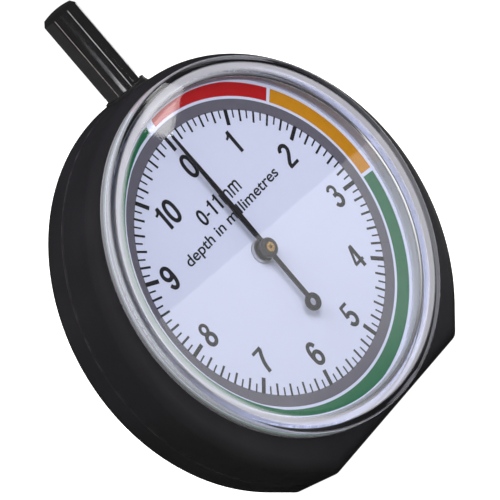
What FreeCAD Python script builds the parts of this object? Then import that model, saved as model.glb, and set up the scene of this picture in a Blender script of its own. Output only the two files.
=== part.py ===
import FreeCAD, Part
import math
import os

from FreeCAD import Vector

# Dial tread-depth gauge. Millimetres, +Z up toward the plunger, the dial faces -Y and +X is on its right.
# The origin lies on the foot's flat face, under the dial axis and half way through the case.

# ---- case -------------------------------------------------------------------------------------------
FOOT_Z = 0.0
DIAL_Z = 24.25            # height of the dial axis above the foot
CASE_R = 25.8             # radius of the round part of the case
CASE_Z = 22.5             # its centre, a little below the dial axis
FOOT_HALF = 13.3          # half width of the flat foot
FOOT_CORNER_R = 1.2
FRONT_Y = -5.2
SEAM_Y = 1.0              # joint between the front shell and the back cover
BACK_Y = 5.3
FRONT_EDGE_R = 1.5
BACK_EDGE_R = 1.5
SEAM_CHAMFER = 0.16
WALL = 1.6
WEB_FRONT_Y = -2.4        # floor under the dial
WEB_BACK_Y = -1.6
COVER_FLOOR_Y = 4.1
BORE_R = 22.25

# ---- lens and dial ----------------------------------------------------------------------------------
LENS_R = 23.15
LENS_SPIGOT_R = 22.2
LENS_INNER_R = 21.45
LENS_TOP_Y = -7.05
LENS_PANE = 1.25
LENS_EDGE = 0.35
LENS_CORNER = 1.2         # inside corner between the pane and the wall
GATE_ANGLE = -47.0        # moulding gate on the rim, clockwise from the plunger
GATE_SIZE = (1.3, 0.12, 0.9)
DIAL_R = 22.1
DIAL_FRONT_Y = -2.9
DIAL_HOLE_R = 1.5

# ---- plunger ----------------------------------------------------------------------------------------
TRAVEL = 11.0
ROD_X = 3.1
ROD_Y = 0.6
CAP_R = 2.38
CAP_BOTTOM_Z = 45.2
CAP_TOP_Z = 61.0
CAP_EDGE = 0.45
CAP_DOME = 0.25
ROD_R = 1.3
ROD_TOP_Z = 59.0
RACK_TOP_Z = 37.2
RACK_BOTTOM_Z = 22.2
RACK_BACK_X = 4.2
RACK_HALF_WIDTH = 0.9
LOWER_ROD_R = 1.2
ROD_BOTTOM_Z = 13.8
PROBE_R = 0.8
PROBE_SOCKET = 2.5
PROBE_TIP_Z = 0.05
COLLAR_Z = 19.5
COLLAR_R = 2.0
COLLAR_THICK = 0.8
GUIDE_PIN_R = 0.6
GUIDE_PIN_Z = 39.0
RUNNING_GAP = 0.04        # radial clearance of every sliding or turning fit

# ---- plunger bush and probe bush --------------------------------------------------------------------
BUSH_R = 2.75
BUSH_BOTTOM_Z = 44.2
COLLAR_TOP_Z = 48.55
COLLAR_TOP_R = 2.82
COLLAR_BASE_R = 3.15
PROBE_BUSH_R = 1.7
PROBE_FLANGE_R = 2.1
PROBE_BUSH_Z = (0.25, 1.6, 2.3)
SEAT_THICK = 0.25
SEAT_R = 2.0
SEAT_BORE_R = 1.0

# ---- return spring ----------------------------------------------------------------------------------
SPRING_MEAN_R = 1.7
SPRING_WIRE_R = 0.2
SPRING_TURNS = 10
SPRING_END_GAP = 0.02

# ---- rack and pinion: one turn of the needle for the whole travel -----------------------------------
TEETH = 14
PITCH = TRAVEL / TEETH
PITCH_R = TRAVEL / (2 * math.pi)
MESH_GAP = 0.03
ADDENDUM = 0.19
DEDENDUM = 0.27
BACKLASH = 0.06
PRESSURE = math.radians(20)
PINION_Y = (-0.2, 1.4)

# ---- pointer ----------------------------------------------------------------------------------------
ARBOR_R = 0.65
ARBOR_FRONT_Y = -4.8
PIVOT_R = 0.5
PIVOT_SHOULDER_Y = 2.7
ARBOR_BACK_Y = 3.9
NEEDLE_Y = (-4.25, -4.0)
NEEDLE_TIP = 17.4
NEEDLE_TIP_HALF = 0.13
NEEDLE_BELLY = 5.3
NEEDLE_BELLY_HALF = 0.36
NEEDLE_ROOT_HALF = 0.27
NEEDLE_RING_AT = 8.3
NEEDLE_RING_R = 1.1
NEEDLE_RING_HOLE_R = 0.47
NEEDLE_DISC_R = 1.2
HUB_R = 1.2
HUB_SHANK_R = 0.9
HUB_Y = (-4.65, -3.7)

# ---- movement ---------------------------------------------------------------------------------------
ARBOR_BUSH_R = 1.47
ARBOR_BUSH_FRONT_Y = -3.6
FRONT_PLATE_Y = (-1.6, -1.1)
BACK_PLATE_Y = (3.35, 3.9)
PLATE_X = (-8.6, 10.2)
PLATE_Z = (13.2, 33.2)
PLATE_CORNER_R = 1.8
TONGUE_X = (-0.1, 6.3)
SPRING_NOTCH_X = (0.7, 5.5)
SPRING_NOTCH_TOP_Z = 20.9
TONGUE_TOP_Z = 41.2
PILLARS = ((-6.5, 31.0), (-6.5, 15.5), (8.1, 23.2))
PILLAR_R = 1.15
SCREW_R = 0.5
SCREW_HEAD_R = 1.0
SCREW_SINK = 0.45
SCREW_LENGTH = 2.0
SLOT_WIDTH = 0.24
SLOT_DEPTH = 0.2
REAR_BEARING_R = 1.2
REAR_BEARING_FRONT_Y = 3.0

# ---- back cover screws ------------------------------------------------------------------------------
POST_OFFSET = 14.3        # along X and Z from the dial axis
POST_R = 2.2
POST_BACK_Y = 4.05
COVER_SCREW_R = 0.7
COVER_SCREW_HOLE_R = 0.8
COVER_SCREW_TIP_Y = -0.4
COVER_HEAD_R = 1.35
COVER_HEAD_RECESS_R = 1.45
COVER_HEAD_Y = (4.6, 5.1)
CROSS_WIDTH = 0.34
CROSS_LENGTH = 1.5
CROSS_DEPTH = 0.3

OVERCUT = 1.0             # cutters run past the faces that they cut


def rod_y(radius, y0, y1, x=0.0, z=DIAL_Z):
    """Cylinder along Y."""
    return Part.makeCylinder(radius, y1 - y0, Vector(x, y0, z), Vector(0, 1, 0))


def rod_z(radius, z0, z1, x=ROD_X, y=ROD_Y):
    """Cylinder along Z, on the plunger's axis unless told otherwise."""
    return Part.makeCylinder(radius, z1 - z0, Vector(x, y, z0), Vector(0, 0, 1))


def cone_y(radius0, radius1, y0, y1, x, z):
    return Part.makeCone(radius0, radius1, y1 - y0, Vector(x, y0, z), Vector(0, 1, 0))


def block(x, y, z):
    """Box from three (low, high) pairs."""
    size = (x[1] - x[0], y[1] - y[0], z[1] - z[0])
    return Part.makeBox(size[0], size[1], size[2], Vector(x[0], y[0], z[0]))


def prism_y(points, y0, y1):
    """Closed polygon of (x, z) points, extruded along Y."""
    loop = [Vector(x, y0, z) for x, z in points]
    face = Part.Face(Part.makePolygon(loop + [loop[0]]))
    return face.extrude(Vector(0, y1 - y0, 0))


def around_dial(shape, angle):
    """Turn a shape clockwise about the dial axis, by degrees seen from the front."""
    turned = shape.copy()
    turned.rotate(Vector(0, 0, DIAL_Z), Vector(0, 1, 0), angle)
    return turned


def tangent_angle():
    """Angle from the top at which the case's straight flank leaves its round part."""
    reach = math.hypot(FOOT_HALF, CASE_Z)
    corner = math.pi - math.atan2(FOOT_HALF, CASE_Z)
    return corner - math.acos(CASE_R / reach)


def case_prism(inset, y0, y1):
    """The case's outline, moved inward by inset, extruded along Y."""
    turn = tangent_angle()
    radius = CASE_R - inset
    side = Vector(radius * math.sin(turn), y0, CASE_Z + radius * math.cos(turn))
    other_side = Vector(-side.x, y0, side.z)
    foot_x = (radius - math.cos(turn) * (inset - CASE_Z)) / math.sin(turn)
    corner = Vector(foot_x, y0, FOOT_Z + inset)
    other_corner = Vector(-foot_x, y0, FOOT_Z + inset)
    arc = Part.Arc(other_side, Vector(0, y0, CASE_Z + radius), side).toShape()
    edges = [arc]
    edges.append(Part.makeLine(side, corner))
    edges.append(Part.makeLine(corner, other_corner))
    edges.append(Part.makeLine(other_corner, other_side))
    solid = Part.Face(Part.Wire(edges)).extrude(Vector(0, y1 - y0, 0))
    corners = [edge for edge in solid.Edges if is_foot_corner(edge, foot_x)]
    return solid.makeFillet(max(FOOT_CORNER_R - inset / 2, 0.5), corners)


def is_foot_corner(edge, foot_x):
    middle = edge.CenterOfMass
    runs_along_y = abs(edge.Vertexes[0].Y - edge.Vertexes[-1].Y) > 0.1
    return runs_along_y and abs(abs(middle.x) - foot_x) < 0.01


def edges_at_y(solid, y):
    """Edges that lie wholly in the plane of one Y."""
    found = []
    for edge in solid.Edges:
        if all(abs(vertex.Y - y) < 1e-6 for vertex in edge.Vertexes):
            found.append(edge)
    return found


def post_places():
    places = []
    for side in (-1, 1):
        for level in (-1, 1):
            places.append((side * POST_OFFSET, DIAL_Z + level * POST_OFFSET))
    return places


def stem_holes():
    """Holes for the plunger bush and the probe bush, shared by both shells."""
    upper = rod_z(BUSH_R + 0.02, BUSH_BOTTOM_Z - OVERCUT, CASE_Z + CASE_R + OVERCUT)
    lower = rod_z(PROBE_BUSH_R, FOOT_Z - OVERCUT, PROBE_BUSH_Z[1] + OVERCUT)
    return [upper, lower]


def countersink(x, z, wide_y, narrow_y):
    """Conical seat and clearance hole of a small countersunk screw."""
    low, high = min(wide_y, narrow_y), max(wide_y, narrow_y)
    if wide_y < narrow_y:
        return cone_y(SCREW_HEAD_R + 0.03, SCREW_R + 0.03, low, high, x, z)
    return cone_y(SCREW_R + 0.03, SCREW_HEAD_R + 0.03, low, high, x, z)


def case_shell():
    shell = case_prism(0, FRONT_Y, SEAM_Y)
    shell = shell.makeFillet(FRONT_EDGE_R, edges_at_y(shell, FRONT_Y))
    shell = shell.makeChamfer(SEAM_CHAMFER, edges_at_y(shell, SEAM_Y))
    cutters = [rod_y(BORE_R, FRONT_Y - OVERCUT, WEB_FRONT_Y)]
    cutters.append(case_prism(WALL, WEB_BACK_Y, SEAM_Y + OVERCUT))
    shell = shell.cut(cutters)
    posts = [rod_y(POST_R, WEB_BACK_Y - 0.4, POST_BACK_Y, x, z) for x, z in post_places()]
    shell = shell.fuse(posts)
    cutters = stem_holes()
    for x, z in post_places():
        cutters.append(rod_y(COVER_SCREW_R, COVER_SCREW_TIP_Y - 0.3, POST_BACK_Y + OVERCUT, x, z))
    cutters.append(rod_y(ARBOR_BUSH_R + 0.1, WEB_FRONT_Y - OVERCUT, WEB_BACK_Y + OVERCUT))
    channel_x = (ROD_X - BUSH_R - 0.1, ROD_X + BUSH_R + 0.1)
    channel_z = (CAP_BOTTOM_Z - TRAVEL - 0.3, CASE_Z + CASE_R - WALL)
    cutters.append(block(channel_x, (WEB_FRONT_Y - 0.1, WEB_BACK_Y + 0.1), channel_z))
    for x, z in PILLARS:
        cutters.append(rod_y(SCREW_R + 0.03, WEB_FRONT_Y - OVERCUT, WEB_BACK_Y + OVERCUT, x, z))
        cutters.append(countersink(x, z, WEB_FRONT_Y, WEB_FRONT_Y + SCREW_SINK))
    return shell.cut(cutters).removeSplitter()


def back_cover():
    cover = case_prism(0, SEAM_Y, BACK_Y)
    cover = cover.makeFillet(BACK_EDGE_R, edges_at_y(cover, BACK_Y))
    cover = cover.makeChamfer(SEAM_CHAMFER, edges_at_y(cover, SEAM_Y))
    cutters = stem_holes()
    cutters.append(case_prism(WALL, SEAM_Y - OVERCUT, COVER_FLOOR_Y))
    for x, z in post_places():
        cutters.append(rod_y(COVER_SCREW_HOLE_R, COVER_FLOOR_Y - 0.1, BACK_Y, x, z))
        cutters.append(rod_y(COVER_HEAD_RECESS_R, COVER_HEAD_Y[0], BACK_Y + OVERCUT, x, z))
    return cover.cut(cutters)


def cover_screw(x, z):
    screw = rod_y(COVER_HEAD_R, COVER_HEAD_Y[0], COVER_HEAD_Y[1], x, z)
    rim = [edge for edge in edges_at_y(screw, COVER_HEAD_Y[1]) if edge.Length > 2 * COVER_HEAD_R]
    screw = screw.makeChamfer(0.15, rim)
    screw = screw.fuse(rod_y(COVER_SCREW_R, COVER_SCREW_TIP_Y, COVER_HEAD_Y[0], x, z))
    depth = (COVER_HEAD_Y[1] - CROSS_DEPTH, COVER_HEAD_Y[1] + OVERCUT)
    narrow = CROSS_WIDTH / 2
    wide = CROSS_LENGTH / 2
    flat_bar = block((x - wide, x + wide), depth, (z - narrow, z + narrow))
    tall_bar = block((x - narrow, x + narrow), depth, (z - wide, z + wide))
    return screw.cut([flat_bar, tall_bar])


def lens():
    """Clear cap: a flat pane, a thick wall, and a spigot that enters the case."""
    body = rod_y(LENS_R, LENS_TOP_Y, FRONT_Y)
    body = body.makeFillet(LENS_EDGE, [e for e in edges_at_y(body, LENS_TOP_Y)])
    body = body.fuse(rod_y(LENS_SPIGOT_R, FRONT_Y, DIAL_FRONT_Y))
    hollow = rod_y(LENS_INNER_R, LENS_TOP_Y + LENS_PANE, DIAL_FRONT_Y + OVERCUT)
    hollow = hollow.makeFillet(LENS_CORNER, edges_at_y(hollow, LENS_TOP_Y + LENS_PANE))
    body = body.cut(hollow)
    width, proud, height = GATE_SIZE
    gate_y = (FRONT_Y - height - 0.3, FRONT_Y - 0.3)
    gate_z = (DIAL_Z + LENS_R - 0.3, DIAL_Z + LENS_R + proud)
    gate = block((-width / 2, width / 2), gate_y, gate_z)
    return body.fuse(around_dial(gate, GATE_ANGLE))


def dial_plate():
    return rod_y(DIAL_R, DIAL_FRONT_Y, WEB_FRONT_Y).cut(
        rod_y(DIAL_HOLE_R, DIAL_FRONT_Y - OVERCUT, WEB_FRONT_Y + OVERCUT))


def plunger_bush():
    """Black bush: a barrel in the case wall and a flared collar that sits on the round top."""
    top_z = COLLAR_TOP_Z
    base_z = CASE_Z + math.sqrt(CASE_R ** 2 - (ROD_X + COLLAR_BASE_R) ** 2)
    profile = [Vector(ROD_X, ROD_Y, base_z), Vector(ROD_X + COLLAR_BASE_R, ROD_Y, base_z)]
    waist = Vector(ROD_X + COLLAR_TOP_R + 0.1, ROD_Y, top_z - 0.6)
    top = Vector(ROD_X + COLLAR_TOP_R, ROD_Y, top_z)
    flare = Part.Arc(profile[1], waist, top).toShape()
    lines = [Part.makeLine(profile[0], profile[1]), flare]
    lines.append(Part.makeLine(top, Vector(ROD_X, ROD_Y, top_z)))
    lines.append(Part.makeLine(Vector(ROD_X, ROD_Y, top_z), profile[0]))
    face = Part.Face(Part.Wire(lines))
    collar = face.revolve(Vector(ROD_X, ROD_Y, 0), Vector(0, 0, 1), 360)
    seat = rod_y(CASE_R, FRONT_Y, BACK_Y, 0, CASE_Z)
    collar = collar.cut(seat)
    barrel = rod_z(BUSH_R, BUSH_BOTTOM_Z, base_z + 0.9)
    bore = rod_z(CAP_R + RUNNING_GAP, BUSH_BOTTOM_Z - OVERCUT, top_z + OVERCUT)
    return collar.fuse(barrel).cut(bore).removeSplitter()


def probe_bush():
    low, shoulder, top = PROBE_BUSH_Z
    bush = rod_z(PROBE_BUSH_R, low, shoulder).fuse(rod_z(PROBE_FLANGE_R, shoulder, top))
    return bush.cut(rod_z(PROBE_R + RUNNING_GAP, low - OVERCUT, top + OVERCUT))


def spring_seat():
    low = PROBE_BUSH_Z[2]
    washer = rod_z(SEAT_R, low, low + SEAT_THICK)
    return washer.cut(rod_z(SEAT_BORE_R, low - OVERCUT, low + OVERCUT))


def half_turn(start, rise):
    """Half a coil: a tilted half ring that ends on the other side, higher by the rise."""
    end = Vector(-start.x, 0, start.z + rise)
    centre = (start + end) * 0.5
    axis = (end - start).cross(Vector(0, 1, 0))
    if axis.z < 0:
        axis = axis * -1
    section = Part.Face(Part.Wire(Part.makeCircle(SPRING_WIRE_R, start, Vector(0, 1, 0))))
    return section.revolve(centre, axis, 180), end


def return_spring():
    low = PROBE_BUSH_Z[2] + SEAT_THICK + SPRING_WIRE_R + SPRING_END_GAP
    high = COLLAR_Z - SPRING_WIRE_R - SPRING_END_GAP
    rise = (high - low) / SPRING_TURNS / 2
    start = Vector(SPRING_MEAN_R, 0, low)
    halves = []
    for _ in range(2 * SPRING_TURNS):
        half, start = half_turn(start, rise)
        halves.append(half)
    coil = halves[0].fuse(halves[1:])
    coil.translate(Vector(ROD_X, ROD_Y, 0))
    return coil


def plunger_cap():
    """Chromed tube with a closed, slightly domed end and a bevelled rim."""
    flat_r = CAP_R - CAP_EDGE
    dome_r = (flat_r ** 2 + CAP_DOME ** 2) / (2 * CAP_DOME)
    dome = Part.makeSphere(dome_r, Vector(ROD_X, ROD_Y, CAP_TOP_Z - dome_r))
    end = rod_z(CAP_R, ROD_TOP_Z, CAP_TOP_Z).common(dome)
    rim = [edge for edge in end.Edges if edge.BoundBox.ZMin > ROD_TOP_Z + 0.1 and edge.Length > CAP_R * 6]
    end = end.makeChamfer(CAP_EDGE, rim)
    tube = rod_z(CAP_R, CAP_BOTTOM_Z, ROD_TOP_Z).cut(rod_z(ROD_R, CAP_BOTTOM_Z - OVERCUT, ROD_TOP_Z))
    return tube.fuse(end).removeSplitter()


def rack_points():
    """Outline of the toothed bar in X and Z, with its teeth toward the pinion."""
    pitch_x = PITCH_R + MESH_GAP
    tip_x = pitch_x - ADDENDUM
    root_x = pitch_x + DEDENDUM
    half = PITCH / 4 - BACKLASH / 4
    tip_half = half - ADDENDUM * math.tan(PRESSURE)
    root_half = half + DEDENDUM * math.tan(PRESSURE)
    points = [(RACK_BACK_X, RACK_BOTTOM_Z), (root_x, RACK_BOTTOM_Z)]
    first = DIAL_Z - 2.5 * PITCH
    count = int((RACK_TOP_Z - root_half - first) / PITCH) + 1
    for i in range(count):
        middle = first + i * PITCH
        if middle - root_half < RACK_BOTTOM_Z:
            continue
        points.append((root_x, middle - root_half))
        points.append((tip_x, middle - tip_half))
        points.append((tip_x, middle + tip_half))
        points.append((root_x, middle + root_half))
    points.append((root_x, RACK_TOP_Z))
    points.append((RACK_BACK_X, RACK_TOP_Z))
    return points


def rack_rod():
    bar = prism_y(rack_points(), ROD_Y - RACK_HALF_WIDTH, ROD_Y + RACK_HALF_WIDTH)
    upper = rod_z(ROD_R, RACK_TOP_Z, ROD_TOP_Z)
    lower = rod_z(LOWER_ROD_R, ROD_BOTTOM_Z, RACK_BOTTOM_Z)
    rod = bar.fuse([upper, lower])
    socket = rod_z(PROBE_R, ROD_BOTTOM_Z - OVERCUT, ROD_BOTTOM_Z + PROBE_SOCKET)
    pin_hole = rod_y(GUIDE_PIN_R, ROD_Y, ROD_Y + ROD_R + OVERCUT, ROD_X, GUIDE_PIN_Z)
    return rod.cut([socket, pin_hole])


def probe_pin():
    pin = rod_z(PROBE_R, PROBE_TIP_Z, ROD_BOTTOM_Z + PROBE_SOCKET)
    tip = [edge for edge in pin.Edges if edge.BoundBox.ZMax < PROBE_TIP_Z + 0.01]
    return pin.makeChamfer(0.12, tip)


def spring_collar():
    ring = rod_z(COLLAR_R, COLLAR_Z, COLLAR_Z + COLLAR_THICK)
    return ring.cut(rod_z(LOWER_ROD_R, COLLAR_Z - OVERCUT, COLLAR_Z + OVERCUT))


def guide_pin():
    return rod_y(GUIDE_PIN_R, ROD_Y, BACK_PLATE_Y[1], ROD_X, GUIDE_PIN_Z)


def involute(radius):
    """Polar angle swept by an involute from the base circle out to a radius."""
    base = PITCH_R * math.cos(PRESSURE)
    if radius <= base:
        return 0.0
    roll = math.sqrt((radius / base) ** 2 - 1)
    return roll - math.atan(roll)


def pinion_points():
    """Outline of the toothed wheel in X and Z, with one tooth toward +X."""
    root = PITCH_R - DEDENDUM
    tip = PITCH_R + ADDENDUM
    radii = [root + (tip - root) * i / 5 for i in range(6)]
    half_at_pitch = (PITCH / 2 - BACKLASH / 2) / 2 / PITCH_R
    flank = [(r, half_at_pitch + involute(PITCH_R) - involute(r)) for r in radii]
    points = []
    for tooth in range(TEETH):
        middle = 2 * math.pi * tooth / TEETH
        rising = [(r, middle - a) for r, a in flank]
        falling = [(r, middle + a) for r, a in reversed(flank)]
        for r, angle in rising + falling:
            points.append((r * math.cos(angle), DIAL_Z + r * math.sin(angle)))
    return points


def pinion():
    wheel = prism_y(pinion_points(), PINION_Y[0], PINION_Y[1])
    return wheel.cut(rod_y(ARBOR_R, PINION_Y[0] - OVERCUT, PINION_Y[1] + OVERCUT))


def arbor():
    shaft = rod_y(ARBOR_R, ARBOR_FRONT_Y, PIVOT_SHOULDER_Y)
    front = edges_at_y(shaft, ARBOR_FRONT_Y)
    shaft = shaft.makeChamfer(0.1, front)
    shaft = shaft.fuse(rod_y(PIVOT_R, PIVOT_SHOULDER_Y, ARBOR_BACK_Y))
    dimple = cone_y(0.22, 0.02, ARBOR_FRONT_Y, ARBOR_FRONT_Y + 0.18, 0, DIAL_Z)
    return shaft.cut(dimple)


def needle():
    half = NEEDLE_ROOT_HALF
    blade = [(-half, 0), (-NEEDLE_BELLY_HALF, NEEDLE_BELLY), (-NEEDLE_TIP_HALF, NEEDLE_TIP)]
    blade += [(x * -1, z) for x, z in reversed(blade)]
    blade = [(x, DIAL_Z + z) for x, z in blade]
    front, back = NEEDLE_Y
    shape = prism_y(blade, front, back)
    tail = block((-half, half), NEEDLE_Y, (DIAL_Z - NEEDLE_RING_AT, DIAL_Z))
    ring = rod_y(NEEDLE_RING_R, front, back, 0, DIAL_Z - NEEDLE_RING_AT)
    disc = rod_y(NEEDLE_DISC_R, front, back)
    shape = shape.fuse([tail, ring, disc])
    hole = rod_y(NEEDLE_RING_HOLE_R, front - OVERCUT, back + OVERCUT, 0, DIAL_Z - NEEDLE_RING_AT)
    return shape.cut([hole, rod_y(HUB_SHANK_R, front - OVERCUT, back + OVERCUT)]).removeSplitter()


def needle_hub():
    head = rod_y(HUB_R, HUB_Y[0], NEEDLE_Y[0])
    head = head.makeChamfer(0.12, edges_at_y(head, HUB_Y[0]))
    hub = head.fuse(rod_y(HUB_SHANK_R, NEEDLE_Y[0], HUB_Y[1]))
    return hub.cut(rod_y(ARBOR_R, HUB_Y[0] - OVERCUT, HUB_Y[1] + OVERCUT))


def arbor_bush():
    bush = rod_y(ARBOR_BUSH_R, ARBOR_BUSH_FRONT_Y, FRONT_PLATE_Y[1])
    bush = bush.makeChamfer(0.12, edges_at_y(bush, ARBOR_BUSH_FRONT_Y))
    bore = rod_y(ARBOR_R + RUNNING_GAP, ARBOR_BUSH_FRONT_Y - OVERCUT, FRONT_PLATE_Y[1] + OVERCUT)
    return bush.cut(bore)


def rear_bearing():
    bearing = rod_y(REAR_BEARING_R, REAR_BEARING_FRONT_Y, BACK_PLATE_Y[1])
    return bearing.cut(rod_y(PIVOT_R + RUNNING_GAP, REAR_BEARING_FRONT_Y - OVERCUT, BACK_Y))


def plate(thickness):
    """Rounded rectangle that carries the arbor and the pillars."""
    body = block(PLATE_X, thickness, PLATE_Z)
    corners = [edge for edge in body.Edges if abs(edge.Vertexes[0].Y - edge.Vertexes[-1].Y) > 0.1]
    return body.makeFillet(PLATE_CORNER_R, corners)


def front_plate():
    body = plate(FRONT_PLATE_Y)
    through = (FRONT_PLATE_Y[0] - OVERCUT, FRONT_PLATE_Y[1] + OVERCUT)
    cutters = [rod_y(ARBOR_BUSH_R, through[0], through[1])]
    cutters.append(block(SPRING_NOTCH_X, through, (PLATE_Z[0] - OVERCUT, SPRING_NOTCH_TOP_Z)))
    for x, z in PILLARS:
        cutters.append(rod_y(SCREW_R + 0.03, through[0], through[1], x, z))
    return body.cut(cutters)


def back_plate():
    body = plate(BACK_PLATE_Y)
    body = body.fuse(block(TONGUE_X, BACK_PLATE_Y, (PLATE_Z[1] - 1.0, TONGUE_TOP_Z))).removeSplitter()
    through = (BACK_PLATE_Y[0] - OVERCUT, BACK_PLATE_Y[1] + OVERCUT)
    cutters = [rod_y(REAR_BEARING_R, through[0], through[1])]
    half = GUIDE_PIN_R + RUNNING_GAP
    low = GUIDE_PIN_Z - TRAVEL - 0.1
    high = GUIDE_PIN_Z + 0.1
    cutters.append(block((ROD_X - half, ROD_X + half), through, (low, high)))
    cutters.append(rod_y(half, through[0], through[1], ROD_X, low))
    cutters.append(rod_y(half, through[0], through[1], ROD_X, high))
    for x, z in PILLARS:
        cutters.append(rod_y(SCREW_R + 0.03, through[0], through[1], x, z))
        cutters.append(countersink(x, z, BACK_PLATE_Y[1], BACK_PLATE_Y[1] - SCREW_SINK))
    return body.cut(cutters)


def pillar(x, z):
    post = rod_y(PILLAR_R, FRONT_PLATE_Y[1], BACK_PLATE_Y[0], x, z)
    return post.cut(rod_y(SCREW_R, FRONT_PLATE_Y[1] - OVERCUT, BACK_PLATE_Y[0] + OVERCUT, x, z))


def sunk_screw(x, z, head_y, inward):
    """Small slotted countersunk screw; inward is +1 when it points along +Y."""
    neck_y = head_y + inward * SCREW_SINK
    tip_y = head_y + inward * (SCREW_SINK + SCREW_LENGTH)
    if inward > 0:
        head = cone_y(SCREW_HEAD_R, SCREW_R, head_y, neck_y, x, z)
        shank = rod_y(SCREW_R, neck_y, tip_y, x, z)
        slot_y = (head_y - OVERCUT, head_y + SLOT_DEPTH)
    else:
        head = cone_y(SCREW_R, SCREW_HEAD_R, neck_y, head_y, x, z)
        shank = rod_y(SCREW_R, tip_y, neck_y, x, z)
        slot_y = (head_y - SLOT_DEPTH, head_y + OVERCUT)
    slot_x = (x - SCREW_HEAD_R, x + SCREW_HEAD_R)
    slot_z = (z - SLOT_WIDTH / 2, z + SLOT_WIDTH / 2)
    return head.fuse(shank).cut(block(slot_x, slot_y, slot_z))


def group(solids):
    return Part.makeCompound(solids)


NODES = {
    "case_shell": case_shell(),
    "back_cover": back_cover(),
    "cover_screws": group([cover_screw(x, z) for x, z in post_places()]),
    "lens": lens(),
    "dial_plate": dial_plate(),
    "plunger_bush": plunger_bush(),
    "probe_bush": probe_bush(),
    "spring_seat": spring_seat(),
    "movement_front_plate": front_plate(),
    "movement_back_plate": back_plate(),
    "movement_pillars": group([pillar(x, z) for x, z in PILLARS]),
    "movement_screws": group([sunk_screw(x, z, BACK_PLATE_Y[1], -1) for x, z in PILLARS]),
    "frame_screws": group([sunk_screw(x, z, WEB_FRONT_Y, 1) for x, z in PILLARS]),
    "arbor_bush": arbor_bush(),
    "rear_bearing": rear_bearing(),
    "plunger_cap": plunger_cap(),
    "rack_rod": rack_rod(),
    "probe_pin": probe_pin(),
    "spring_collar": spring_collar(),
    "guide_pin": guide_pin(),
    "return_spring": return_spring(),
    "needle": needle(),
    "needle_hub": needle_hub(),
    "arbor": arbor(),
    "pinion": pinion(),
}

os.makedirs("parts", exist_ok=True)
for name, shape in NODES.items():
    shape.exportStep("parts/" + name + ".step")
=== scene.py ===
from math import cos, hypot, pi, radians, sin

import bmesh
import bpy
from mathutils import Matrix, Vector

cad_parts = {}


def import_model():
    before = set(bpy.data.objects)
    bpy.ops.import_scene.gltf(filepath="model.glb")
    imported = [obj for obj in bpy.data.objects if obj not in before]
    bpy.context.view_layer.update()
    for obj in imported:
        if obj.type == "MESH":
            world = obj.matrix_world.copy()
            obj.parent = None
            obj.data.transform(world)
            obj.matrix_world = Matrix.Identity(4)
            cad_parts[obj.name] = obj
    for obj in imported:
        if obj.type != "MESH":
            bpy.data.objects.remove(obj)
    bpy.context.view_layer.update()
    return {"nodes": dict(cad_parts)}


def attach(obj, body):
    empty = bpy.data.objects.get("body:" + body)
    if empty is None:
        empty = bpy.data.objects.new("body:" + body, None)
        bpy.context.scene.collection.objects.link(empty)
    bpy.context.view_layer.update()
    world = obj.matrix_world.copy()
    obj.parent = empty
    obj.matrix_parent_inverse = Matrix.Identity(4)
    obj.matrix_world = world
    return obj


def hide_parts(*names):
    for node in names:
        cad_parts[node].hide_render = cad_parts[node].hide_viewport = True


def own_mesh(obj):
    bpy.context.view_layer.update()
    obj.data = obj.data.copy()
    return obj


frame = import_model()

MM = 0.001
NODE = frame["nodes"]

# Lengths are in millimetres, in the part's own frame.

# The dial: its centre, its front face, its graduation circle, and the ink that lies on it.
DIAL_Z = 24.25
DIAL_Y = -2.9
GRADUATION_R = 17.5
DIVISIONS = 11
INK_DEPTH = 0.012
INK_ROOT = 0.006
INK_LAYER = 0.0006

# The printing, as shares of the graduation circle's radius.
MAJOR_TICK = (0.107, 0.03)
MEDIUM_TICK = (0.08, 0.016)
MINOR_TICK = (0.055, 0.0115)
TICK_OVERRUN = 0.006
GREY_RING = (1.0, 1.08)
ZONE_RING = (1.10, 1.20)
NUMERAL_HEIGHT = 0.175
NUMERAL_RADIUS = 0.77
NUMERAL_RADII = {0: 0.754, 3: 0.80, 8: 0.80, 9: 0.80, 10: 0.75}
RANGE_HEIGHT = 0.115
RANGE_RISE = 0.45
WORDING_HEIGHT = 0.105
WORDING_LENGTH = 1.08
WORDING_RISE = 0.30

# The lens, turned from this section, and how milky its wall and its outer edge are.
LENS_FRONT_Y = -7.05
LENS_PANE_BACK_Y = -5.8
LENS_FLANGE_Y = -5.2
LENS_R = 23.15
LENS_SPIGOT_R = 22.2
LENS_INNER_R = 21.45
LENS_EDGE_R = 0.35
LENS_CORNER_R = 1.2
LENS_RING = 0.03
LENS_SEGMENTS = 256
LENS_MILK = 0.36
LENS_RIM_MILK = 0.2


# ---------------------------------------------------------------- meshes

def mesh_object(name, verts, faces, material, sharp=35):
    """A named mesh in millimetres, smooth but for edges sharper than that angle in degrees."""
    mesh = bpy.data.meshes.new(name)
    mesh.from_pydata([[c * MM for c in v] for v in verts], [], faces)
    outward = bmesh.new()
    outward.from_mesh(mesh)
    bmesh.ops.recalc_face_normals(outward, faces=outward.faces)
    outward.to_mesh(mesh)
    outward.free()
    for polygon in mesh.polygons:
        polygon.use_smooth = True
    mesh.set_sharp_from_angle(angle=radians(sharp))
    mesh.materials.append(material)
    piece = bpy.data.objects.new(name, mesh)
    bpy.context.scene.collection.objects.link(piece)
    return piece


def add_piece(piece, body, slot, *nodes):
    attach(piece, body)
    if nodes:
        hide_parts(*nodes)
    return piece


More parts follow.
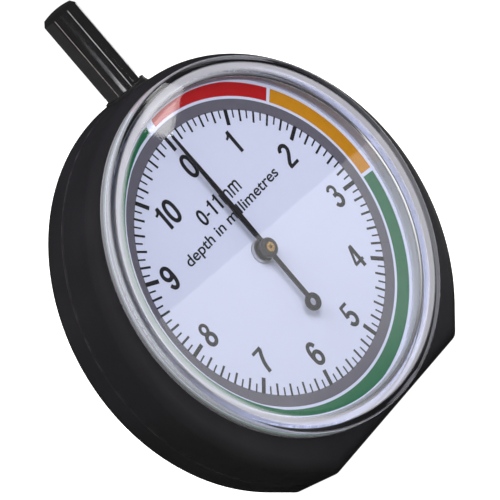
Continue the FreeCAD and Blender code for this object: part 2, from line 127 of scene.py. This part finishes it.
def lathe(name, profile, to_point, segments, material, sharp=35):
    """Turns a closed section of (radius, height) points about an axis; to_point places them."""
    verts, rings = [], []
    for radius, height in profile:
        if radius < 1e-6:
            rings.append([len(verts)] * segments)
            verts.append(to_point(0, 0, height))
            continue
        rings.append(list(range(len(verts), len(verts) + segments)))
        for i in range(segments):
            a = 2 * pi * i / segments
            verts.append(to_point(radius * cos(a), radius * sin(a), height))
    faces = []
    pairs = list(zip(rings, rings[1:]))
    if profile[0][0] > 1e-6:
        pairs.append((rings[-1], rings[0]))
    for low, high in pairs:
        for i in range(segments):
            j = (i + 1) % segments
            corners = [low[i], low[j], high[j], high[i]]
            face = [c for k, c in enumerate(corners) if c != corners[k - 1]]
            faces.append(face)
    return mesh_object(name, verts, faces, material, sharp)


def arc(cx, cy, rx, ry, start, end, steps=14, square=2.0):
    """Points on an ellipse, or with square over 2 on a squarer oval, between two angles."""
    points = []
    for i in range(steps + 1):
        a = radians(start + (end - start) * i / steps)
        c, s = cos(a), sin(a)
        k = (abs(c) ** square + abs(s) ** square) ** (-1 / square)
        points.append((cx + rx * k * c, cy + ry * k * s))
    return points


class Ink:
    """Thin closed plates of ink on the dial, gathered into one mesh."""

    def __init__(self):
        self.verts, self.faces = [], []
        self.layer = 0

    def strip(self, pairs, closed=False):
        """A flat band between the two points of each pair, given as (x, z) on the dial."""
        self.layer = (self.layer + 1) % 5
        front = DIAL_Y - INK_DEPTH - INK_LAYER * self.layer
        back = DIAL_Y + INK_ROOT
        base = len(self.verts)
        for (ax, az), (bx, bz) in pairs:
            self.verts += [(ax, front, az), (bx, front, bz), (bx, back, bz), (ax, back, az)]
        n = len(pairs)
        for i in range(n if closed else n - 1):
            p, q = base + 4 * i, base + 4 * ((i + 1) % n)
            for k in range(4):
                m = (k + 1) % 4
                self.faces.append((p + k, p + m, q + m, q + k))
        if not closed:
            last = base + 4 * (n - 1)
            self.faces.append((base + 3, base + 2, base + 1, base))
            self.faces.append((last, last + 1, last + 2, last + 3))

    def sector(self, inner, outer, start, end, step=1.5):
        """Part of a ring between two radii, from start to end degrees clockwise from the top."""
        n = max(2, int(abs(end - start) / step) + 1)
        closed = abs(end - start) >= 359.99
        pairs = []
        for i in range(n if closed else n + 1):
            a = radians(start + (end - start) * i / n)
            pairs.append((on_dial(inner, a), on_dial(outer, a)))
        self.strip(pairs, closed)

    def ribbon(self, points, width, closed=False):
        """A stroke of even width along the points."""
        n = len(points)
        pairs = []
        for i, (x, z) in enumerate(points):
            before = points[i - 1] if i or closed else points[i]
            after = points[(i + 1) % n] if i < n - 1 or closed else points[i]
            ux, uz = unit(x - before[0], z - before[1])
            vx, vz = unit(after[0] - x, after[1] - z)
            tx, tz = unit(ux + vx, uz + vz)
            stretch = 1 / max(0.6, tx * (vx or ux) + tz * (vz or uz)) if (vx or vz) else 1
            h = 0.5 * width * stretch
            pairs.append(((x - tz * h, z + tx * h), (x + tz * h, z - tx * h)))
        self.strip(pairs, closed)

    def piece(self, name, material, slot):
        return add_piece(mesh_object(name, self.verts, self.faces, material), "case", slot)


def unit(x, z):
    length = hypot(x, z)
    return (x / length, z / length) if length > 1e-9 else (0.0, 0.0)


def on_dial(radius, angle):
    return (radius * sin(angle), DIAL_Z + radius * cos(angle))


# ---------------------------------------------------------------- numerals

STROKE = 0.168


def numeral(figure):
    """The strokes of a figure one unit high and centred on x = 0: (points, closed, width)."""
    s = STROKE
    if figure == "0":
        return [(arc(0, 0.5, 0.205, 0.43, 0, 350, 35, 2.35), True, s)]
    if figure == "1":
        flag = [(-0.18, 0.765), (-0.07, 0.785), (0.01, 0.85), (0.045, 0.97)]
        return [([(0.075, 0), (0.075, 1)], False, s), (flag, False, 0.1)]
    if figure == "2":
        hook = arc(0, 0.725, 0.195, 0.205, 172, -28, 14)
        tail = [(0.09, 0.5), (-0.07, 0.33), (-0.17, 0.2), (-0.195, 0.06)]
        return [(hook + tail, False, s), ([(-0.262, 0.065), (0.262, 0.065)], False, 0.13)]
    if figure == "3":
        upper = arc(-0.005, 0.735, 0.17, 0.195, 160, -90, 14) + [(-0.08, 0.54)]
        lower = [(-0.08, 0.535)] + arc(0, 0.3, 0.2, 0.235, 90, -168, 16)
        return [(upper, False, 0.13), (lower, False, s)]
    if figure == "4":
        slope = [(0.075, 0.97), (-0.215, 0.32)]
        bar = [(-0.272, 0.285), (0.27, 0.285)]
        return [([(0.105, 0), (0.105, 1)], False, s), (slope, False, 0.12), (bar, False, 0.12)]
    if figure == "5":
        bowl = arc(-0.005, 0.32, 0.205, 0.25, 142, -165, 18)
        return [([(0.215, 0.935), (-0.16, 0.935)], False, 0.13), (bowl, False, s),
                ([(-0.13, 0.97), (-0.178, 0.46)], False, 0.125)]
    if figure == "6":
        sweep = arc(0.0, 0.5, 0.205, 0.43, 32, 180, 14, 2.3) + [(-0.2, 0.36)]
        return [(arc(0.003, 0.315, 0.2, 0.245, 0, 348, 29), True, s), (sweep, False, s)]
    if figure == "7":
        stem = [(0.2, 0.9), (0.07, 0.68), (-0.03, 0.45), (-0.075, 0.22), (-0.09, 0)]
        return [([(-0.245, 0.935), (0.255, 0.935)], False, 0.13), (stem, False, s)]
    if figure == "8":
        return [(arc(0, 0.745, 0.165, 0.188, 0, 348, 29), True, 0.135),
                (arc(0, 0.29, 0.2, 0.222, 0, 348, 29), True, s)]
    if figure == "9":
        return [([(-x, 1 - z) for x, z in points], closed, width)
                for points, closed, width in numeral("6")]
    if figure == "-":
        return [([(-0.13, 0.38), (0.13, 0.38)], False, 0.12)]
    stems = [([(-0.33, 0), (-0.33, 0.72)], False, 0.13)]
    for x in (-0.165, 0.165):
        arch = arc(x, 0.49, 0.165, 0.165, 180, 0, 10, 2.4) + [(x + 0.165, 0)]
        stems.append((arch, False, 0.125))
    return stems


ADVANCE = {"-": 0.36, "m": 0.88}


def write(ink, text, x, z, height, spacing=1.0):
    """Writes figures with their middle at (x, z)."""
    widths = [ADVANCE.get(c, 0.56) * spacing for c in text]
    at = -sum(widths) / 2
    for figure, width in zip(text, widths):
        centre = at + width / 2
        at += width
        for points, closed, stroke in numeral(figure):
            placed = [(x + (centre + px) * height, z + (pz - 0.5) * height) for px, pz in points]
            ink.ribbon(placed, stroke * height, closed)


# ---------------------------------------------------------------- materials

def new_material(name, colour, roughness, metallic=0.0, **sockets):
    material = bpy.data.materials.new(name)
    material.use_nodes = True
    shader = material.node_tree.nodes["Principled BSDF"]
    shader.inputs["Base Color"].default_value = (*colour, 1)
    shader.inputs["Roughness"].default_value = roughness
    shader.inputs["Metallic"].default_value = metallic
    for socket, value in sockets.items():
        shader.inputs[socket.replace("_", " ")].default_value = value
    return material, Nodes(material, shader)


class Nodes:
    """Short ways to build a material's node tree. Sizes are in millimetres on the object."""

    def __init__(self, material, shader):
        self.tree, self.shader = material.node_tree, shader
        self.place = self.tree.nodes.new("ShaderNodeTexCoord").outputs["Object"]

    def node(self, kind, inputs=(), **settings):
        node = self.tree.nodes.new("ShaderNode" + kind)
        for key, value in settings.items():
            setattr(node, key, value)
        for key, value in dict(inputs).items():
            if isinstance(value, bpy.types.NodeSocket):
                self.tree.links.new(value, node.inputs[key])
            else:
                node.inputs[key].default_value = value
        return node

    def stretched(self, x, y, z):
        return self.node("Mapping", {"Vector": self.place, "Scale": (x, y, z)}).outputs[0]

    def noise(self, size, detail=3.0, rough=0.5, place=None):
        return self.node("TexNoise", {"Vector": place or self.place, "Scale": 1 / (size * MM),
                                      "Detail": detail, "Roughness": rough}).outputs["Fac"]

    def spread(self, value, low, high, start=0.3, end=0.7):
        return self.node("MapRange", {"Value": value, "From Min": start, "From Max": end,
                                      "To Min": low, "To Max": high}).outputs["Result"]

    def blend(self, factor, a, b):
        """Mixes two colours, each either three numbers or a socket."""
        a, b = ((*c, 1) if isinstance(c, (tuple, list)) else c for c in (a, b))
        return self.node("Mix", {0: factor, 6: a, 7: b}, data_type="RGBA").outputs[2]

    def bump(self, *layers):
        """Each layer is (height, depth in millimetres)."""
        normal = None
        for height, depth in layers:
            inputs = {"Height": height, "Distance": depth * MM, "Strength": 1.0}
            if normal:
                inputs["Normal"] = normal
            normal = self.node("Bump", inputs).outputs["Normal"]
        self.tree.links.new(normal, self.shader.inputs["Normal"])

    def edges(self, radius):
        """Near 1 within that distance of an outside or inside edge, 0 on open faces."""
        rounded = self.node("Bevel", {"Radius": radius * MM}, samples=4).outputs["Normal"]
        plain = self.tree.nodes.new("ShaderNodeNewGeometry").outputs["Normal"]
        dot = self.node("VectorMath", {0: rounded, 1: plain}, operation="DOT_PRODUCT")
        return self.spread(dot.outputs["Value"], 1.0, 0.0, 0.86, 0.995)

    def link(self, value, socket):
        self.tree.links.new(value, self.shader.inputs[socket])


def moulded_plastic(name, base, worn, rough, grain, depth, specular=0.4):
    """Moulded plastic with a fine sparked grain, rubbed a little smoother and paler at its edges."""
    material, n = new_material(name, base, rough, Specular_IOR_Level=specular)
    cloud = n.noise(9, 4)
    fine = n.noise(grain, 3, 0.6)
    wear = n.edges(0.22)
    scuff = n.node("Math", {0: wear, 1: n.spread(n.noise(1.6, 4, 0.65), 0.1, 1.0, 0.42, 0.66)},
                   operation="MULTIPLY").outputs[0]
    tint = n.blend(n.spread(cloud, 0, 1), base, [c * 1.35 for c in base])
    n.link(n.blend(scuff, tint, worn), "Base Color")
    satin = n.node("Math", {0: n.spread(n.noise(2.4, 4, 0.6), rough - 0.05, rough + 0.06),
                            1: n.spread(wear, 0, 0.09, 0, 1)}, operation="SUBTRACT")
    n.link(satin.outputs[0], "Roughness")
    n.bump((fine, depth), (cloud, depth * 2))
    return material


def bare_metal(name, base, dark, rough, grain=(1, 1, 1), depth=0.0016, worn=None, size=0.25):
    """Plated or cut metal: drawing marks along one way, faint clouding and brighter edges."""
    material, n = new_material(name, base, rough, 1.0)
    cloud = n.noise(2.2, 4, 0.6)
    marks = n.noise(size, 3, 0.65, n.stretched(*grain))
    tint = n.blend(n.spread(cloud, 0, 1, 0.3, 0.72), dark, base)
    if worn:
        tint = n.blend(n.spread(n.edges(0.12), 0, 0.8, 0, 1), tint, worn)
    n.link(tint, "Base Color")
    n.link(n.spread(marks, rough * 0.75, rough * 1.35), "Roughness")
    n.bump((marks, depth), (cloud, depth * 1.5))
    return material


def printed(name, base, rough=0.42, uneven=0.05):
    """Screen-printed ink or paint: very slightly uneven in tone and sheen, with a fine tooth."""
    material, n = new_material(name, base, rough, Specular_IOR_Level=0.35)
    tone = n.spread(n.noise(1.1, 4, 0.6), 0, 1)
    n.link(n.blend(tone, [c * (1 - uneven) for c in base], [c * (1 + uneven) for c in base]),
           "Base Color")
    n.link(n.spread(n.noise(0.5, 3), rough - 0.05, rough + 0.07), "Roughness")
    n.bump((n.noise(0.12, 2), 0.0012))
    return material


def clear_plastic():
    """Clear moulded styrene with hair scratches and a faint haze; it casts no dark shadow.

    Its wall and rim look milky, since their moulded faces scatter the light they collect.
    """
    material, n = new_material("clear_lens", (0.985, 0.99, 0.99), 0.015,
                               IOR=1.49, Transmission_Weight=1.0)
    smear = n.noise(5, 4, 0.6)
    hairs = n.noise(0.5, 2, 0.7, n.stretched(1, 1, 0.05))
    n.link(n.spread(smear, 0.004, 0.03, 0.35, 0.75), "Roughness")
    n.bump((hairs, 0.0002), (smear, 0.0012))
    output = n.tree.nodes["Material Output"]
    shadow = n.node("LightPath").outputs["Is Shadow Ray"]
    through = n.node("BsdfTransparent", {"Color": (0.93, 0.94, 0.95, 1)}).outputs[0]
    flat = n.node("Mapping", {"Vector": n.place, "Location": (0, 0, -DIAL_Z * MM),
                              "Scale": (1, 0, 1)}).outputs[0]
    radius = n.node("VectorMath", {0: flat}, operation="LENGTH").outputs["Value"]
    inside = n.spread(radius, 0, LENS_MILK, 20.9 * MM, 21.4 * MM)
    flange = n.spread(radius, 0, LENS_MILK, 22.1 * MM, 22.3 * MM)
    wall = n.node("Math", {0: inside, 1: flange}, operation="SUBTRACT").outputs[0]
    rim = n.spread(radius, 0, LENS_RIM_MILK, 22.85 * MM, 23.0 * MM)
    cloudy = n.node("Math", {0: wall, 1: rim}).outputs[0]
    milk = n.node("BsdfDiffuse", {"Color": (0.60, 0.60, 0.67, 1)}).outputs[0]
    body = n.node("MixShader", {0: cloudy, 1: n.shader.outputs[0], 2: milk}).outputs[0]
    mixed = n.node("MixShader", {0: shadow, 1: body, 2: through}).outputs[0]
    n.tree.links.new(mixed, output.inputs["Surface"])
    return material


case_black = moulded_plastic("case_black", (0.0078, 0.0073, 0.0087), (0.045, 0.043, 0.046),
                             0.5, 0.11, 0.006, 0.25)
cover_black = moulded_plastic("cover_black", (0.0078, 0.0073, 0.0087), (0.045, 0.043, 0.046),
                              0.55, 0.16, 0.008, 0.25)
bush_black = moulded_plastic("bush_black", (0.009, 0.0085, 0.009), (0.05, 0.048, 0.05),
                             0.32, 0.1, 0.003, 0.5)
seat_black = moulded_plastic("seat_black", (0.02, 0.019, 0.019), (0.06, 0.057, 0.056),
                             0.45, 0.14, 0.004)
lens_clear = clear_plastic()
dial_paint = printed("dial_paint", (0.64, 0.665, 0.85), 0.5, 0.008)
ink_black = printed("ink_black", (0.010, 0.010, 0.013))
ink_grey = printed("ink_grey", (0.118, 0.112, 0.145))
ink_red = printed("ink_red", (0.43, 0.008, 0.011))
ink_amber = printed("ink_amber", (0.54, 0.225, 0.006))
ink_green = printed("ink_green", (0.016, 0.135, 0.062))
needle_paint = printed("needle_paint", (0.011, 0.010, 0.012), 0.36)
chrome = bare_metal("chrome", (0.60, 0.60, 0.62), (0.50, 0.50, 0.53), 0.07, (1, 1, 0.06),
                    0.0009, (0.85, 0.85, 0.87), 0.3)
rod_steel = bare_metal("rod_steel", (0.62, 0.61, 0.60), (0.45, 0.44, 0.43), 0.22, (1, 1, 0.05),
                       0.0022, (0.8, 0.79, 0.78))
plate_steel = bare_metal("plate_steel", (0.60, 0.60, 0.59), (0.42, 0.42, 0.41), 0.3, (0.08, 1, 1),
                         0.003, (0.78, 0.78, 0.77))
turned_steel = bare_metal("turned_steel", (0.66, 0.65, 0.64), (0.50, 0.49, 0.48), 0.18,
                          (1, 0.06, 1), 0.0015, (0.85, 0.84, 0.83), 0.15)
screw_steel = bare_metal("screw_steel", (0.34, 0.34, 0.36), (0.2, 0.2, 0.21), 0.26, (1, 0.1, 1),
                         0.002, (0.62, 0.62, 0.64), 0.2)
spring_wire = bare_metal("spring_wire", (0.46, 0.45, 0.45), (0.3, 0.29, 0.29), 0.24, (1, 1, 1),
                         0.001, None, 0.12)
brass = bare_metal("brass", (0.72, 0.47, 0.20), (0.50, 0.31, 0.12), 0.24, (1, 0.08, 1), 0.0016,
                   (0.90, 0.66, 0.36), 0.16)
hub_paint = printed("hub_paint", (0.035, 0.034, 0.038), 0.33)

FINISH = {
    "case_shell": case_black, "back_cover": cover_black, "plunger_bush": bush_black,
    "probe_bush": seat_black, "spring_seat": seat_black, "guide_pin": turned_steel,
    "dial_plate": dial_paint, "plunger_cap": chrome, "rack_rod": rod_steel,
    "probe_pin": rod_steel, "spring_collar": turned_steel, "return_spring": spring_wire,
    "movement_front_plate": plate_steel, "movement_back_plate": plate_steel,
    "movement_pillars": brass, "movement_screws": screw_steel, "frame_screws": screw_steel,
    "cover_screws": screw_steel, "arbor_bush": turned_steel, "rear_bearing": brass,
    "needle": needle_paint, "needle_hub": hub_paint, "arbor": brass, "pinion": brass,
}


def finish_cad_nodes():
    for name, material in FINISH.items():
        mesh = NODE[name].data
        mesh.materials.clear()
        mesh.materials.append(material)


# ---------------------------------------------------------------- the dial's printing

def graduations():
    ink = Ink()
    ticks = DIVISIONS * 10
    for i in range(ticks):
        major, medium = i % 10 == 0, i % 2 == 0
        length, width = MAJOR_TICK if major else MEDIUM_TICK if medium else MINOR_TICK
        a = 2 * pi * i / ticks
        inner, outer = GRADUATION_R * (1 - length), GRADUATION_R * (1 + TICK_OVERRUN)
        half = 0.5 * width * GRADUATION_R
        (ix, iz), (ox, oz) = on_dial(inner, a), on_dial(outer, a)
        px, pz = cos(a) * half, -sin(a) * half
        ink.strip([((ix - px, iz - pz), (ix + px, iz + pz)),
                   ((ox - px, oz - pz), (ox + px, oz + pz))])
    ink.piece("dial_graduations", ink_black, "dial_white")


def rings():
    ring = Ink()
    ring.sector(GRADUATION_R * GREY_RING[0], GRADUATION_R * GREY_RING[1], 0, 360, 1.0)
    ring.piece("dial_ring", ink_grey, "dial_white")
    step = 360 / DIVISIONS
    inner, outer = (GRADUATION_R * share for share in ZONE_RING)
    # each zone starts and ends at a depth in millimetres
    zones = (("dial_zone_red", 0.0, 1.58, ink_red), ("dial_zone_amber", 1.62, 2.98, ink_amber),
             ("dial_zone_green", 3.02, 10.89, ink_green))
    for name, start, end, material in zones:
        zone = Ink()
        zone.sector(inner, outer, start * step, end * step, 1.0)
        zone.piece(name, material, "dial_white")


def numerals():
    ink = Ink()
    for value in range(DIVISIONS):
        a = 2 * pi * value / DIVISIONS
        x, z = on_dial(GRADUATION_R * NUMERAL_RADII.get(value, NUMERAL_RADIUS), a)
        write(ink, str(value), x, z, NUMERAL_HEIGHT * GRADUATION_R)
    write(ink, "0-11mm", 0, DIAL_Z + RANGE_RISE * GRADUATION_R, RANGE_HEIGHT * GRADUATION_R, 1.06)
    ink.piece("dial_numerals", ink_black, "dial_white")


def wording(text, middle_z, length, height):
    """A line of small letters on the dial, from the built-in typeface."""
    curve = bpy.data.curves.new("dial_wording", "FONT")
    curve.body = text
    curve.extrude = 1.0
    curve.offset = 0.012
    source = bpy.data.objects.new("dial_wording", curve)
    bpy.context.scene.collection.objects.link(source)
    mesh = bpy.data.meshes.new_from_object(source)
    bpy.data.objects.remove(source)
    xs = [v.co.x for v in mesh.vertices]
    ys = [v.co.y for v in mesh.vertices]
    zs = [v.co.z for v in mesh.vertices]
    x0, x1, y0, y1 = min(xs), max(xs), min(ys), max(ys)
    for v in mesh.vertices:
        x = ((v.co.x - x0) / (x1 - x0) - 0.5) * length
        z = ((v.co.y - y0) / (y1 - y0) - 0.5) * height + middle_z
        depth = DIAL_Y + INK_ROOT if v.co.z < (min(zs) + max(zs)) / 2 else DIAL_Y - INK_DEPTH
        v.co = (x * MM, depth * MM, z * MM)
    mesh.materials.clear()
    mesh.materials.append(ink_black)
    mesh.name = "dial_wording"
    piece = bpy.data.objects.new("dial_wording", mesh)
    bpy.context.scene.collection.objects.link(piece)
    add_piece(piece, "case", "dial_white")


# ---------------------------------------------------------------- the lens

def lens():
    # a ring just inside each fillet keeps the two faces of the pane truly flat
    profile = [(0, LENS_FRONT_Y), (LENS_R - LENS_EDGE_R - LENS_RING, LENS_FRONT_Y)]
    for i in range(7):
        a = radians(90 * i / 6)
        profile.append((LENS_R - LENS_EDGE_R + LENS_EDGE_R * sin(a),
                        LENS_FRONT_Y + LENS_EDGE_R - LENS_EDGE_R * cos(a)))
    profile += [(LENS_R, LENS_FLANGE_Y), (LENS_SPIGOT_R, LENS_FLANGE_Y),
                (LENS_SPIGOT_R, DIAL_Y), (LENS_INNER_R, DIAL_Y)]
    for i in range(13):
        a = radians(90 * i / 12)
        profile.append((LENS_INNER_R - LENS_CORNER_R + LENS_CORNER_R * cos(a),
                        LENS_PANE_BACK_Y + LENS_CORNER_R - LENS_CORNER_R * sin(a)))
    profile += [(LENS_INNER_R - LENS_CORNER_R - LENS_RING, LENS_PANE_BACK_Y),
                (0, LENS_PANE_BACK_Y)]
    piece = lathe("lens_clear", profile, lambda a, b, h: (a, h, DIAL_Z + b), LENS_SEGMENTS,
                  lens_clear)
    add_piece(piece, "case", "lens_clear", "lens")


# ---------------------------------------------------------------- the return spring

def spring():
    """The return spring, which shortens between its seat and the rod's collar as the plunger goes in:
    here a fixed copy of its coil in place of the CAD node, carried with the plunger.
    """
    coil = NODE["return_spring"]
    piece = bpy.data.objects.new("return_spring_coil", coil.data.copy())
    piece.matrix_world = coil.matrix_world.copy()
    bpy.context.scene.collection.objects.link(piece)
    add_piece(piece, "plunger", "spring_steel", "return_spring")
    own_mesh(piece)


# ---------------------------------------------------------------- floor, light and camera

CAMERA_AT = Vector((-305.83, -396.01, 102.88)) * MM
CAMERA_RIGHT = Vector((0.53984, -0.54543, -0.64116))
CAMERA_UP = Vector((0.58452, -0.30520, 0.75179))
CAMERA_FORWARD = Vector((0.60573, 0.78061, -0.15406))


def camera():
    data = bpy.data.cameras.new("camera")
    data.lens = 310.488
    data.sensor_width = 36
    data.clip_start = 0.01
    item = bpy.data.objects.new("camera", data)
    axes = Matrix((CAMERA_RIGHT, CAMERA_UP, -CAMERA_FORWARD)).transposed()
    item.matrix_world = Matrix.Translation(CAMERA_AT) @ axes.to_4x4()
    bpy.context.scene.collection.objects.link(item)
    bpy.context.scene.camera = item


# The floor sheet: which way it ends short of the camera's right, its reach, and the patch in front of
# the part where it glows, a painted pool of light.
FLOOR_AHEAD = (0.613, -0.790, 0)
FLOOR_END = 176
FLOOR_BACK = -900
FLOOR_HALF_WIDTH = 450
FLOOR_Z = -0.02
GLOW_POOL_FADE = (15, 50)


def floor():
    """A pale sheet, white to the camera; in front of the part it glows in a patch, a painted pool of
    light that also lights the part, and the pane mirrors only that patch.
    """
    ahead = Vector(FLOOR_AHEAD).normalized()
    side = Vector((-ahead.y, ahead.x, 0))
    corners = [(ahead * f + side * s) * MM for f, s in
               ((FLOOR_END, -FLOOR_HALF_WIDTH), (FLOOR_END, FLOOR_HALF_WIDTH),
                (FLOOR_BACK, FLOOR_HALF_WIDTH), (FLOOR_BACK, -FLOOR_HALF_WIDTH))]
    mesh = bpy.data.meshes.new("floor")
    mesh.from_pydata([(c.x, c.y, FLOOR_Z * MM) for c in corners], [], [(0, 1, 2, 3)])
    material, n = new_material("floor_pale", (0.6, 0.6, 0.6), 0.8, Specular_IOR_Level=0.0)
    n.link(n.blend(n.noise(30), (0.56, 0.54, 0.50), (0.60, 0.58, 0.54)), "Base Color")
    reach = n.node("VectorMath", {0: n.place, 1: ahead}, operation="DOT_PRODUCT")
    # painted pool of light: the floor glows in front of the part, though no lamp shines there
    glow_pool = n.spread(reach.outputs["Value"], 0.0, 0.62, GLOW_POOL_FADE[0] * MM, GLOW_POOL_FADE[1] * MM)
    seen = n.node("LightPath").outputs["Is Camera Ray"]
    glow = n.node("Math", {0: n.spread(seen, 0, 1.0, 0, 1), 1: glow_pool}, operation="MAXIMUM")
    n.shader.inputs["Emission Color"].default_value = (1, 1, 1, 1)
    n.link(glow.outputs[0], "Emission Strength")
    # in mirrors the floor shows only as this painted glow
    mirrored = n.node("Emission", {"Strength": n.spread(glow_pool, 0.05, 1.1, 0, 0.62)}).outputs[0]
    mirror = n.node("LightPath").outputs["Is Glossy Ray"]
    mixed = n.node("MixShader", {0: mirror, 1: n.shader.outputs[0], 2: mirrored}).outputs[0]
    n.tree.links.new(mixed, n.tree.nodes["Material Output"].inputs["Surface"])
    mesh.materials.append(material)
    item = bpy.data.objects.new("floor", mesh)
    bpy.context.scene.collection.objects.link(item)


def area(name, at, size, power, target=(0, 0, 24), glossy=False, diffuse=True, colour=(1, 1, 1),
         up=None):
    """A soft box at a place in millimetres, turned to its target. It never shows itself."""
    data = bpy.data.lights.new(name, "AREA")
    data.shape = "RECTANGLE"
    data.size, data.size_y = size[0] * MM, size[1] * MM
    data.energy = power
    data.color = colour
    item = bpy.data.objects.new(name, data)
    at, target = Vector(at) * MM, Vector(target) * MM
    item.rotation_mode = "QUATERNION"
    item.rotation_quaternion = (target - at).to_track_quat("-Z", "Y")
    if up:
        back = (at - target).normalized()
        along = (Vector(up) - Vector(up).dot(back) * back).normalized()
        item.rotation_quaternion = Matrix((along.cross(back), along, back)).transposed().to_quaternion()
    item.location = at
    item.visible_camera = False
    item.visible_glossy = glossy
    item.visible_transmission = glossy
    item.visible_diffuse = diffuse
    bpy.context.scene.collection.objects.link(item)
    return item


# The strip that the pane mirrors over the start of the red zone, and which way it runs.
PANE_STRIP_AT = (183.7, -241.4, 10.2)
PANE_STRIP_UP = (0.841, 0.157, 0.518)


def lights():
    area("key_front", (-150, -700, 450), (600, 500), 7.4)
    area("key_top", (-350, -150, 750), (600, 600), 7.8)
    area("fill_right", (600, -450, 250), (500, 500), 1.4)
    area("side_left", (-400, 300, 620), (400, 400), 3.0)
    # these strips only show as reflections on the chrome, the case and the pane
    area("strip_front", (68, -392, 130), (16, 330), 0.03, glossy=True, diffuse=False)
    area("strip_left", (-399, -28, 130), (18, 330), 0.018, glossy=True, diffuse=False,
         colour=(1, 0.86, 0.8))
    area("strip_right", (368, 144, -40), (50, 200), 0.10, glossy=True, diffuse=False)
    area("strip_pane", PANE_STRIP_AT, (6, 9.5), 0.0009, (-0.3, -7.1, 45.1), glossy=True, diffuse=False,
         up=PANE_STRIP_UP)


# How bright the surroundings are to light that falls, in mirrors, through the lens and as seen.
WORLD_SOFT = 0.38
WORLD_MIRRORED = 0.03
WORLD_THROUGH_LENS = 0.9
WORLD_SEEN = 1.1


def world():
    """White behind the part and through its lens, soft for the light that falls, dark in mirrors."""
    scene_world = bpy.data.worlds.new("studio")
    bpy.context.scene.world = scene_world
    scene_world.use_nodes = True
    tree = scene_world.node_tree
    tree.nodes.clear()

    def background(strength):
        node = tree.nodes.new("ShaderNodeBackground")
        node.inputs["Color"].default_value = (1, 1, 1, 1)
        node.inputs["Strength"].default_value = strength
        return node

    path = tree.nodes.new("ShaderNodeLightPath").outputs
    bounced = tree.nodes.new("ShaderNodeMath")
    tree.links.new(path["Diffuse Depth"], bounced.inputs[0])
    tree.links.new(path["Glossy Depth"], bounced.inputs[1])
    direct = tree.nodes.new("ShaderNodeMath")
    direct.operation, direct.use_clamp = "SUBTRACT", True
    tree.links.new(path["Is Transmission Ray"], direct.inputs[0])
    tree.links.new(bounced.outputs[0], direct.inputs[1])
    last = background(WORLD_SOFT)
    for ray, strength in ((path["Is Glossy Ray"], WORLD_MIRRORED),
                          (direct.outputs[0], WORLD_THROUGH_LENS),
                          (path["Is Camera Ray"], WORLD_SEEN)):
        mixed = tree.nodes.new("ShaderNodeMixShader")
        tree.links.new(ray, mixed.inputs[0])
        tree.links.new(last.outputs[0], mixed.inputs[1])
        tree.links.new(background(strength).outputs[0], mixed.inputs[2])
        last = mixed
    output = tree.nodes.new("ShaderNodeOutputWorld")
    tree.links.new(last.outputs[0], output.inputs["Surface"])


finish_cad_nodes()
graduations()
rings()
numerals()
wording("depth in millimetres", DIAL_Z + WORDING_RISE * GRADUATION_R,
        WORDING_LENGTH * GRADUATION_R, WORDING_HEIGHT * GRADUATION_R)
lens()
spring()
floor()
lights()
world()
camera()
bpy.context.scene.view_settings.view_transform = "Standard"
